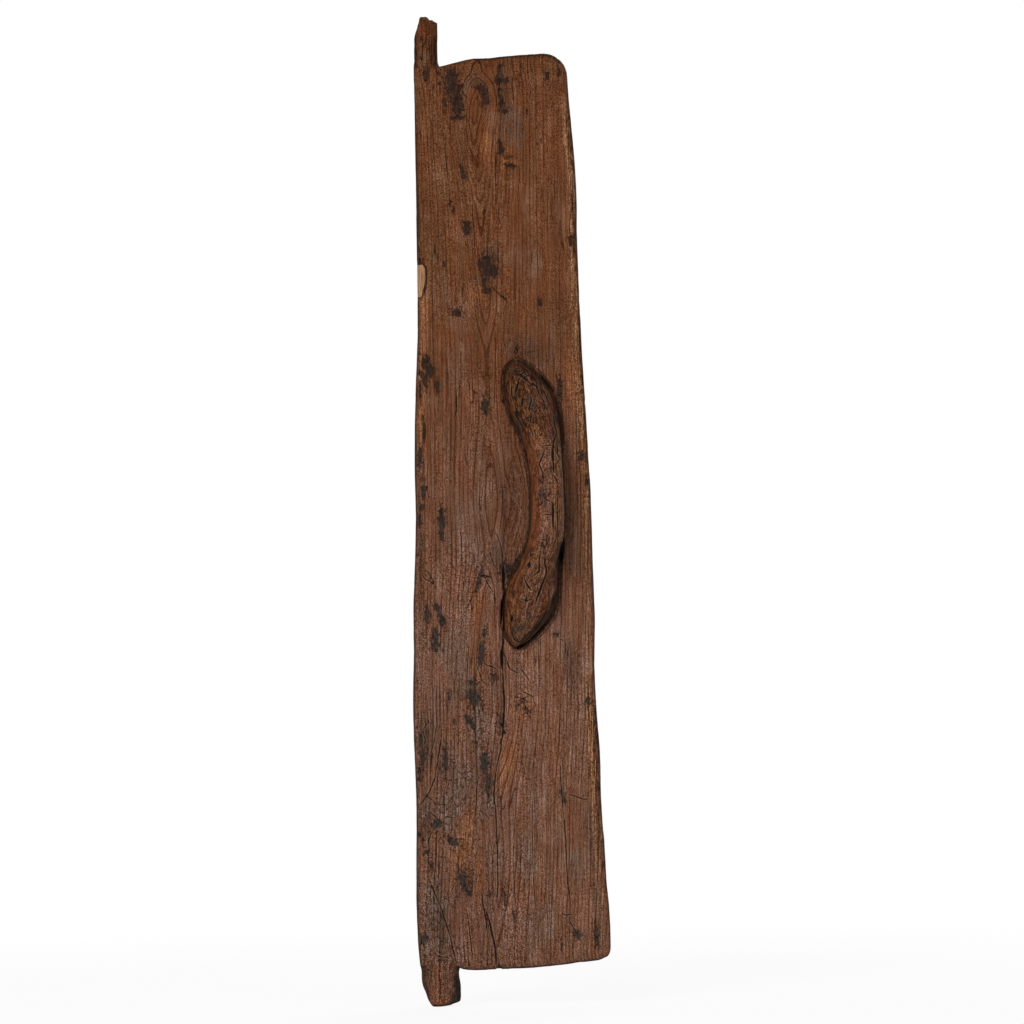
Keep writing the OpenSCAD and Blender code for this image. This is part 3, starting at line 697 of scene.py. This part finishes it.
def leafPiece():
    look = leafLook
    leaf = copyOfNode("leaf", "door_leaf")
    reskin(leaf, look["voxel"], look["tall"])
    thinBack(leaf)
    points, normals = readPoints(leaf), readNormals(leaf)
    x, y, z = points.T
    facing = rise(-normals[:, 1], 0.5, 0.9)
    behind = rise(normals[:, 1], 0.5, 0.9)
    rings = heartRings(points)
    low, high = (np.interp(z, leafEdges[0], side) for side in leafEdges[1:])

    push = look["hewn"] * drift(points, (70, 90, 170), 11) * np.maximum(facing, behind)
    push += look["uneven"] * drift(points, (24, 24, 60), 12)
    push += look["rough"] * drift(points, (5, 5, 24), 13)
    share = rings - np.floor(rings)
    push += look["grain"] * (rise(share, 0.3, 0.85) - 1.6 * rise(share, 0.85, 1.0) + 0.3)

    # adze marks on the back: overlapping shallow scallops in slanted rows
    slant = z + 0.35 * x + 9 * drift(points, (40, 40, 90), 14)
    scallop = np.abs(np.sin(math.pi * slant / look["adzePitch"]))
    scallop *= 0.75 + 0.25 * drift(points, (34, 34, 30), 15)
    push -= look["adze"] * scallop * behind * rise(z, 0, 30) * rise(z, leafTop, leafTop - 30)

    # chipped and softened arrises
    nearSide = np.minimum(np.minimum(x - low, high - x), 40)
    arris = rise(nearSide, 12, 2) * rise(z, -1, 6)
    push -= look["chips"] * arris * rise(drift(points, (9, 9, 22), 16), 0.25, 0.8)
    push -= look["smallChips"] * arris * rise(drift(points, (5, 5, 9), 17), 0.4, 0.9)

    # stains run round the pivots and over the arris of the free edge, and keep to the front elsewhere
    turning = (z < 0) | (z > leafTop) | (high - x < look["stainedEdge"])
    stain = spots(points, stains) + np.where(turning, rise(-normals[:, 1], 0.1, 0.4), facing) - 1
    push -= look["stained"] * rise(stain, 0.3, 0.7)
    seam, seamWide, sink = crackField(points, cracks, facing)
    push -= sink

    # dirt packed into the joint round the handle's feet
    apart = fromHandle(points)
    footZ = rise(z, 472, 452) + rise(z, 560, 580)
    joint = (apart > -4) & (apart < 9) & (y < leafFront + 9) & (footZ > 0.02)
    gape = rise(spots(points, openJoint), 0.3, 0.6)
    left = look["dirt"] + look["jointOpen"] * gape + 0.5 * drift(points, (5, 5, 9), 19)
    filled = wornEnds(points)
    filled[:, 1] = np.where(joint, np.minimum(y, leafFront + np.maximum(left * footZ, 0.3)), y)
    # painted shade: darker the deeper the joint lies open
    deepShade = gape * rise(filled[:, 1] - leafFront, 1.5, 6) * joint

    # grime with painted shade on the face beside the joint, wider on the right, and a narrow painted shadow
    # along the grip
    gripMiddle = np.interp(z, handleEdges[0], (handleEdges[1] + handleEdges[2]) / 2)
    grimeAndShadeWide = 1.6 + (0.4 + 2.2 * rise(x - gripMiddle, -4, 8)) * footZ
    grimeAndShadeWide += 0.5 * (1 - np.minimum(footZ, 1)) * rise(gripMiddle - x, 0, 8)
    onFace = (y < 0) & (nearSide > 8)

    # how far a point lies on an edge that is dark, partly painted shade where the faces turn away from the
    # front and along the foot, partly wear
    tip = rise(z, leafTop + 24, leafTop + 34)
    edge = (1 - np.abs(normals[:, 1])) * (1 - 0.6 * tip)
    edge = edge + 0.24 * rise(z, 985, 995) * rise(x, 6, 10) + 0.5 * rise(underEdge(points), 2.2, 0.8)

    keepFields(leaf, {
        "ring": rings, "stain": stain, "seam": seam, "seamWide": seamWide,
        "scrape": spots(points, scrapes) + facing - 1,
        "dark": spots(points, darkened) + facing - 1,
        "grey": spots(points, greyed) + facing - 1,
        "edge": edge,
        "arch": np.exp(-((x - course(heartX, z)) / 20) ** 2) * rise(z, 470, 560),
        "sapwood": course(sapFree, z),
        "fromHinge": x - low,
        "fromFree": high - x,
        "grimeAndShade": np.where(onFace, np.clip(grimeAndShadeWide - apart, -9, 9), -9),
        "deepShade": np.maximum(deepShade, rise(spots(points, shadowUnderBar) + facing - 1, 0.3, 0.6)),
    })
    writePoints(leaf, filled + normals * push[:, None])
    leaf.data.materials.append(leafWood())
    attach(leaf, "root")
    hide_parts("leaf")
    print("leaf made,", len(leaf.data.polygons), "faces")


def thinBack(leaf):
    # fewer faces where nothing fine shows: the back half of the plank
    editAll(leaf, bpy.ops.mesh.select_all, action="DESELECT")
    points = readPoints(leaf)
    leaf.data.vertices.foreach_set("select", points[:, 1] > leafLook["backFrom"])
    bpy.ops.object.mode_set(mode="EDIT")
    bpy.ops.mesh.select_mode(type="VERT")
    bpy.ops.mesh.decimate(ratio=leafLook["backShare"])
    bpy.ops.object.mode_set(mode="OBJECT")


def leafWood():
    wood = Finish("leaf_wood", leafTints)
    field, ramp, mix, paint, lay = wood.field, wood.ramp, wood.mix, wood.paint, wood.lay
    x, y, z = wood.x, wood.y, wood.z
    ring = field("ring")

    # noises: slow patches and bands, threads and fibres along the grain, specks, pores and fine grit
    patch = wood.grain(70, 130, 3)
    cloud = wood.grain(20, 34, 4, 0.6)
    band = wood.marks(9, 70, 3, 0.6, 0.2, 0.8)
    thread = ramp(wood.noise(ring * 1.7, x / 80, z / 160, 3, 0.65), 0.34, 0.66)
    fibre = wood.marks(1.3, 50, 2, 0.5, 0.33, 0.67)
    speck = wood.marks(1.3, 3.4, 1, 0.6, 0.3, 0.7)
    grit = wood.marks(0.75, 0.95, 1, 0.5, 0.32, 0.68)
    pore = wood.marks(1.3, 5, 2, 0.6, 0.57, 0.68)
    blot = wood.grain(3.6, 5, 3, 0.7)
    low = ramp(z + patch.sway(300), 780, 300)  # 1 in the lower half, which is greyer and rougher

    # growth rings: each darkens towards its outer side, some far more than others
    count = ring + thread.sway(0.14)
    number = count.maths("FLOOR", count)
    share = count - number
    chance = wood.node("ShaderNodeTexWhiteNoise", {"noise_dimensions": "1D"}, {"W": number})
    strong = chance ** 1.3 * 0.65 + 0.35
    broken = ramp(wood.noise(number * 5.7, y / 60, z / 60, 2), 0.36, 0.6)
    late = ramp(share, 0.62, 0.84) * (1 - ramp(share, 0.9, 1.0))
    late = late * wood.larger(strong * (broken * 0.6 + 0.4), field("arch") * (broken * 0.4 + 0.4))
    late = late * (low * 0.2 + 0.6)

    # fine checks along the grain
    check = abs(wood.noise(ring * 0.7 + 3, y / 200, z / 130, 2, 0.4) - 0.5)
    check = (1 - ramp(check, 0.002, 0.012)) * ramp(cloud, 0.42, 0.55)

    # a net of fine cracks about the stains, in grey places and left of the long crack, where wear is worst
    cells = wood.cells(x / 5 + blot.sway(1.6), y / 5, z / 9 + cloud.sway(2.4))
    net = (1 - ramp(cells, 0.025, 0.1)) * ramp(blot, 0.42, 0.54)
    worn = ramp(z, 340, 290) * ramp(x, 84, 66) * 0.75
    worn = worn + ramp(field("grey"), 0, 0.5) * low * 0.5
    net = net * ramp(field("stain") + worn + cloud.sway(2.6), -0.6, 0.1)

    # red-brown above, greyer below, in bands of a redder and an olive brown
    greyness = low * 0.9 + ramp(cloud, 0.5, 0.72) * 0.25
    wood.colour = mix(paint("reddish", band), paint("greyish", band), greyness)

    # places rubbed bare, gone dark or gone grey, and light scratches across the grain
    lay("bare", ramp(field("scrape") + blot.sway(1.4) + thread.sway(0.5), 0.1, 0.8) * 0.5)
    lay("dull", ramp(field("dark") + cloud.sway(2.2) + blot.sway(1.2), 0.0, 0.8) * 0.55)
    dusty = ramp(field("grey") + cloud.sway(1.6) + blot.sway(1.2), 0, 0.5)
    lay(paint("dusty", low), dusty * (low * 0.26 + 0.3))
    scratch = ramp(wood.noise(x / 9, y / 9, z / 1.1 + x / 40, 2, 0.5), 0.64, 0.72)
    lay("scratch", scratch * ramp(cloud, 0.52, 0.66) * 0.35)
    lay("flake", ramp(fibre * 0.6 + speck * 0.4, 0.65, 0.95) * 0.05)

    # pale outer wood in a ragged band behind the free edge, and in a strip at the hinge edge
    ragged = fibre.sway(2.4) + cloud.sway(9) + thread.sway(2)
    inward = field("fromFree") + ragged - ramp(z, 345, 300) * 2.4
    sap = ramp(inward, 11.5, 8.5) * ramp(inward, 1.6, 3) * field("sapwood")
    strip = ramp(z, 540, 600) * ramp(z, 748, 736)
    strip = ramp(field("fromHinge") + ragged * 0.4, 12.5, 10.5) * strip
    sap = wood.larger(sap, strip)
    pale = paint("outer", ramp(fibre * 0.3 + speck * 0.3 + blot * 0.4, 0.35, 0.65))
    pale = mix(pale, paint("hinge"), strip * 0.6)
    lay(pale, sap * 0.7)
    outer = (1 - ramp(abs(inward - 2), 0.7, 1.9)) * ramp(blot, 0.4, 0.52) * field("sapwood")
    pits = wood.marks(1.5, 2.2, 2, 0.6, 0.58, 0.66)
    pits = pits * (ramp(z, 930, 975) * ramp(x, 80, 20) * 0.8 + sap * 0.7)

    # how light it is: rings, fibres, grit and pores, with the grit coarsest at the lower left
    coarse = low * 0.3 - low * ramp(x, 84, 112) * 0.5 + 1.2
    tone = (1.005 - late) * (1 + thread.sway(low * 0.04 + 0.2)) * (1 + fibre.sway(low * 0.12 + 0.28))
    tone = tone * (1 + speck.sway(low) * 0.14) * (1 + grit.sway(coarse))
    tone = tone * (1 - pore * (low * 0.12 + 0.16)) * (1 - check * 0.6)
    tone = tone * (0.86 + ramp(cloud, 0.3, 0.7) * 0.3) * (1 - ramp(z, 975, 1000) * 0.16) * (1 - pits * 0.7)
    wood.colour = wood.shade(wood.colour, tone * (1 - outer * 0.6))

    # stains, each in a faint halo
    halo = ramp(field("stain") + blot.sway(1.6), -0.3, 0.6)
    wood.colour = wood.dim(wood.colour, 1 - halo * 0.25)
    fringe = blot.sway(1.45) + speck.sway(0.2) + fibre.sway(0.15)
    stained = ramp(field("stain") + fringe, 0.22, 0.31)
    blackish = paint("stain", ramp(speck * 0.4 + grit * 0.6, 0.4, 0.85))
    blackish = mix(blackish, paint("greyStain", grit), low * 0.7)
    lay(blackish, stained * 0.9)

    # cracks, then grime and painted shade beside the handle, painted shade in the open joint and under the
    # bar, and painted shade with wear on the edges
    lay("net", net * 0.75)
    lipWearAndHighlight, cracked = wood.crackShares(blot.sway(2.6), (0.6, 1.8), (0.45, 0.95))
    # a pale lip beside the cracks: wear and a painted highlight
    lay("lipWearAndHighlight", lipWearAndHighlight * low * 0.2)
    lay("crack", cracked * 0.95)
    # grime and painted shade beside the handle; along the grip it is painted shadow under the bar
    grimeAndShade = ramp(field("grimeAndShade") + blot.sway(4), -1.4, 1.0)
    lay(paint("grimeAndShade", grit * fibre), grimeAndShade * 0.85)
    # painted shade, near black, in the open joint and under the bar
    lay("deepShade", field("deepShade") * 0.95)
    # painted shade with some wear: the edges and the hinge side darkened
    rimShadeAndWear = field("edge") + ramp(field("fromHinge"), 8, 3) * 0.14
    rimShadeAndWear = ramp(rimShadeAndWear + fibre.sway(0.25) + blot.sway(0.7), 0.3, 0.6)
    lay(wood.dim(wood.colour, 0.3), rimShadeAndWear * 0.9)

    height = fibre * 0.35 + speck * 0.3 + grit * 0.25 - late * 0.6 - pore * 0.5
    height = height - cracked * 1.6 - check * 0.8 - net * 0.9 - stained * (0.2 + speck * 0.3)
    return wood.close(0.62 + speck * 0.25, height, 0.6)


leafPiece()


# The handle: a bowed bar with two leaf-shaped feet

handleLook = {
    "voxel": 1.0,
    "relax": 6,
    "worn": 0.5,  # slow rise and fall of the surface that hands have worn
    "uneven": 0.3,
    "rough": 0.16,
    "hollow": 1.6,  # depth of the hollows in the feet
}

# its colours, from 0 to 255; where there are two in a row, a noise mixes them
handleTints = {
    "wood": (92, 48, 26, 142, 84, 50), "gold": (86, 51, 24, 137, 85, 42), "inner": (88, 44, 20, 124, 70, 36),
    "crest": (98, 63, 44, 143, 101, 77), "flank": (92, 62, 42, 144, 106, 74), "cloud": (56, 33, 21),
    "stain": (40, 31, 27, 92, 76, 68), "lipWearAndHighlight": (168, 128, 96), "crackle": (20, 12, 8), "crack": (16, 10, 7),
    "hollowShade": (18, 12, 8, 88, 64, 46), "grimeAndShade": (26, 18, 13),
}

# the handle's cracks, in the same terms as the leaf's
handleCracks = [
    (1, 1, [122, 573, 123, 566, 117, 551, 121, 543, 121, 531, 119, 522]), (0.9, 0.8, [122, 572.6, 127, 572,
    132, 572.4]), (1.3, 1.2, [133, 608, 135, 597, 137.4, 585, 133.5, 577, 132, 566]), (1.8, 1.4, [134, 580,
    132.5, 566, 133, 549, 132, 538]), (1.1, 1, [132, 541, 135, 536, 139, 529]), (1, 0.8, [137.4, 585,
    137.3, 563, 140.6, 558, 135.6, 551, 136.6, 539]), (0.8, 0.6, [107, 592, 109.4, 604, 115.7, 605]),
    (2, 1.6, [96, 641, 93.5, 635, 91.5, 628]), (1.6, 1.2, [100, 626, 99.8, 615]), (0.8, 0.6, [118, 595,
    113, 588, 114, 577]), (1, 0.9, [95, 655, 101, 647, 109, 641, 116, 637, 121, 628]), (1.9, 1.4, [132, 516,
    131.3, 496, 131.3, 474]), (1, 0.8, [137, 522, 136, 500, 137, 474, 135, 452]), (0.9, 0.7, [119.8, 497,
    130.8, 496.8], [116, 470, 122, 469, 127, 469.7]), (1, 0.9, [119.4, 470, 115.7, 449, 115.5, 435,
    106.6, 428.6, 103, 431]), (1.2, 1.1, [123, 464, 121.6, 444, 124, 433, 118.6, 421, 112.5, 405,
    109.8, 391]), (1, 0.9, [98, 429, 102, 421, 107.4, 412]), (0.8, 0.6, [91.7, 406, 101, 403, 112.5, 405.3],
    [101, 412, 101, 403, 98, 396]), (2.6, 1.6, [105, 446, 104, 438]), (2.2, 1.4, [85, 388, 84, 378]),
    (1.4, 1, [107, 457, 106, 452, 111, 455]), (0.9, 0.8, [108, 633, 110, 622, 107, 612, 110, 604], [120, 628,
    125, 617, 122, 606]), (0.8, 0.6, [96, 650, 103, 653, 106, 645]), (1, 0.8, [89, 645, 88, 630, 92, 615]),
    (2.4, 2, [91, 618, 94, 604, 97, 592, 101, 580]), (1, 0.9, [85, 370, 92, 357.5, 98, 359, 104, 369,
    109, 377]), (0.9, 0.8, [82, 374, 86, 362, 92, 353], [90, 622, 93, 634, 97, 646, 103, 655]), (0.8, 0.8,
    [113, 650, 120, 641, 126, 628, 130, 612], [110, 646, 116, 635, 121, 622]),
]
# hollows where the bar rises out of its feet, sunk in and painted dark as shade, and stains, both in the
# leaf's stains' terms
handleHollows = [
    (95.5, 600, 9, 34, 15), (89, 440, 10, 24, -26), (133, 404, 9, 38, -24), (119, 380, 11, 38, -36),
    (103, 362, 10, 38, -46), (138, 450, 9, 40, -8), (126, 641, 44, 7, -50),
]
handleStains = [
    (120, 519, 8, 14), (123, 508, 5, 8), (108, 622, 7, 12, 20), (112, 614, 5, 9), (104, 384, 6, 9),
    (96, 372, 9, 8, 30), (92, 655, 9, 6), (88, 372, 5, 12),
]


def handlePiece():
    look = handleLook
    handle = copyOfNode("handle", "bowed_handle")
    reskin(handle, look["voxel"])
    relax(handle, look["relax"])
    points, normals = readPoints(handle), readNormals(handle)
    x, y, z = points.T
    low, high = (np.interp(z, handleEdges[0], side) for side in handleEdges[1:])
    middle, half = (low + high) / 2, np.maximum((high - low) / 2, 1)
    proud = rise(y, leafFront, leafFront - 6)
    push = look["worn"] * drift(points, (22, 22, 40), 31) * proud
    push += look["uneven"] * drift(points, (6, 6, 14), 32) * proud
    push += look["rough"] * drift(points, (2.5, 2.5, 9), 33) * proud
    seam, seamWide, sink = crackField(points, handleCracks, rise(-normals[:, 1], 0.1, 0.4))
    push -= sink
    hollow = rise(spots(points, handleHollows), 0.3, 0.75) * proud
    push -= look["hollow"] * hollow
    keepFields(handle, {
        "hollow": hollow,
        "bow": x - middle,
        "across": np.clip((x - middle) / half, -1.2, 1.2),
        "proud": leafFront - y,
        "grip": rise(z, 430, 470) * rise(z, 600, 560),
        "facing": -normals[:, 1],
        "stain": spots(points, handleStains), "seam": seam, "seamWide": seamWide,
    })
    writePoints(handle, points + normals * push[:, None])
    handle.data.materials.append(handleWood())
    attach(handle, "root")
    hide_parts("handle")
    print("handle made,", len(handle.data.polygons), "faces")


def handleWood():
    wood = Finish("handle_wood", handleTints)
    field, ramp, mix, paint, lay = wood.field, wood.ramp, wood.mix, wood.paint, wood.lay
    y, z = wood.y, wood.z
    bow, across, proud, grip = (field(name) for name in ("bow", "across", "proud", "grip"))
    foot = 1 - grip
    cloud = wood.grain(13, 20, 4, 0.6)
    fibre = ramp(wood.noise(across * 12, y / 3, z / 18, 3, 0.55), 0.32, 0.68)
    stroke = ramp(wood.noise(across * 15, y / 8, z / 26, 2, 0.5), 0.4, 0.6)
    speck = wood.marks(1.7, 2.2, 2, 0.75, 0.3, 0.7)
    grit = wood.marks(0.75, 0.95, 1, 0.5, 0.32, 0.68)
    blot = wood.grain(3.4, 5, 3, 0.6)

    # crackle in long cells, of which only some borders show, most of them on the upper foot
    cells = wood.cells(bow / 5 + cloud.sway(2), y / 6, z / 10 + blot.sway(0.6))
    crackle = cloud + foot * ramp(z, 560, 600) * 0.05 + ramp(across, 0.1, 0.5) * 0.03
    crackle = ramp(crackle + blot.sway(0.5), 0.5, 0.56)
    crackle = crackle * (1 - ramp(cells, 0.015, 0.07)) * (1 - ramp(z, 450, 425) * 0.6)

    # long dark lines that follow the outline, dense on the feet
    line = abs(wood.noise(across * 4.2 + 9, y / 30, z / 36, 3, 0.6) - 0.5)
    line = (1 - ramp(line, 0.01, 0.06)) * ramp(blot, 0.32, 0.46)
    line = line * (foot * (ramp(z, 500, 580) * 0.3 + ramp(abs(across), 0.2, 0.6) * 0.4) + 0.3)

    # golden feet, an orange inner side, a duller crest that runs out onto the feet, and a pale outer side
    gold = ramp(across + blot.sway(0.9), 0.6, -0.2) * foot * (ramp(z, 500, 560) * 0.5 + 0.5)
    inner = ramp(across + blot.sway(0.3), -0.42, -0.62) * grip
    crest = ramp(across + blot.sway(0.5), -0.5, -0.3) * ramp(across + blot.sway(0.4), 0.62, 0.42)
    crest = crest * wood.larger(grip, ramp(z, 470, 440) * 0.8)
    upper = ramp(across + blot.sway(0.9), -0.1, 0.3) * ramp(z, 570, 600) * 0.45
    crest = wood.larger(crest, upper)
    flank = ramp(across + blot.sway(0.2), 0.68, 0.78) * ramp(z, 620, 590)
    wood.colour = paint("wood", fibre)
    zones = {"gold": gold * 0.75, "inner": inner * 0.85, "crest": crest * 0.75, "flank": flank * 0.7}
    for zone, share in zones.items():
        lay(paint(zone, fibre), share)
    lay("cloud", ramp(cloud + blot.sway(0.6), 0.52, 0.72) * 0.25)
    tone = (1 + speck.sway(0.26)) * (1 + grit.sway(foot * 0.4 + 1.8)) * (1 - line * 0.85)
    tone = tone * (1 + stroke.sway(foot) * 0.34)
    tone = tone * (1 - ramp(z, 570, 610) * 0.26) * (1 - ramp(z, 450, 420) * 0.12)
    wood.colour = wood.shade(wood.colour, tone * 0.95)

    # stains, crackle and cracks
    stained = ramp(field("stain") + blot.sway(1.6) + speck.sway(0.4), 0.3, 0.5)
    lay(paint("stain", speck * grit), stained * 0.75)
    lipWearAndHighlight, cracked = wood.crackShares(blot.sway(2), (0.5, 1.5), (0.5, 1.0))
    # a pale lip beside the cracks: wear and a painted highlight
    lay("lipWearAndHighlight", lipWearAndHighlight * 0.25)
    lay("crackle", crackle * 0.9)
    lay("crack", cracked)

    # painted shade in the hollows and where it turns away, and grime with painted shade towards the leaf
    hollowShadeShare = ramp(field("hollow") + blot.sway(0.7), 0.3, 0.55)
    hollowShadeColour = paint("hollowShade", ramp(stroke * 0.6 + grit * 0.4, 0.35, 0.9))
    lay(hollowShadeColour, hollowShadeShare * 0.95)
    # painted shade where the surface turns away from the front
    turnedAwayShade = ramp(field("facing") + blot.sway(0.3), 0.16, -0.1)
    lay(wood.dim(wood.colour, 0.45), turnedAwayShade * 0.7)
    # grime and painted shade where the bar meets the leaf
    lay("grimeAndShade", ramp(proud + blot.sway(6), 4, 0) * 0.85)
    height = fibre * 0.4 + speck * 0.35 + grit * 0.3 - line * 0.6 - crackle * 1.1 - cracked * 1.5
    return wood.close(0.5 + speck * 0.25, height, 0.9, 0.12)


handlePiece()


# The small pieces: two wedges at the back and the pale patch in the hinge edge

smallLook = {"voxel": 0.6, "relax": 4, "worn": 0.18, "rough": 0.08, "shrunk": 0.1}


def smallPiece(node, name, material):
    piece = copyOfNode(node, name)
    reskin(piece, smallLook["voxel"])
    relax(piece, smallLook["relax"])
    points, normals = readPoints(piece), readNormals(piece)
    push = smallLook["worn"] * drift(points, (4, 4, 12), 51)
    push += smallLook["rough"] * drift(points, (1.6, 1.6, 6), 52)
    writePoints(piece, points + normals * (push - smallLook["shrunk"])[:, None])
    piece.data.materials.append(material)
    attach(piece, "root")
    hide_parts(node)


def smallWood(name, light, dark, along):
    wood = Finish(name)
    x, y, z = wood.x, wood.y, wood.z
    grain = (x / 1.2, y / 14, z / 1.2) if along == "y" else (x / 1.2, y / 1.2, z / 14)
    fibre = wood.noise(*grain, 3, 0.6)
    speck = wood.grain(1.2, 1.6, 3, 0.7)
    colour = wood.mix(light, dark, wood.ramp(fibre, 0.4, 0.68))
    wood.colour = wood.dim(colour, 0.8 + speck * 0.4)
    return wood.close(0.65 + speck * 0.2, fibre * 0.5 + speck * 0.3, 0.4)


wedgeWood = smallWood("wedge_wood", tint(132, 98, 68), tint(84, 58, 40), "y")
patchWood = smallWood("patch_wood", tint(176, 134, 102), tint(128, 92, 66), "z")
smallPiece("upper_wedge", "upper_tenon_wedge", wedgeWood)
smallPiece("lower_wedge", "lower_tenon_wedge", wedgeWood)
smallPiece("edge_patch", "pale_edge_patch", patchWood)
print("wedges and patch made")
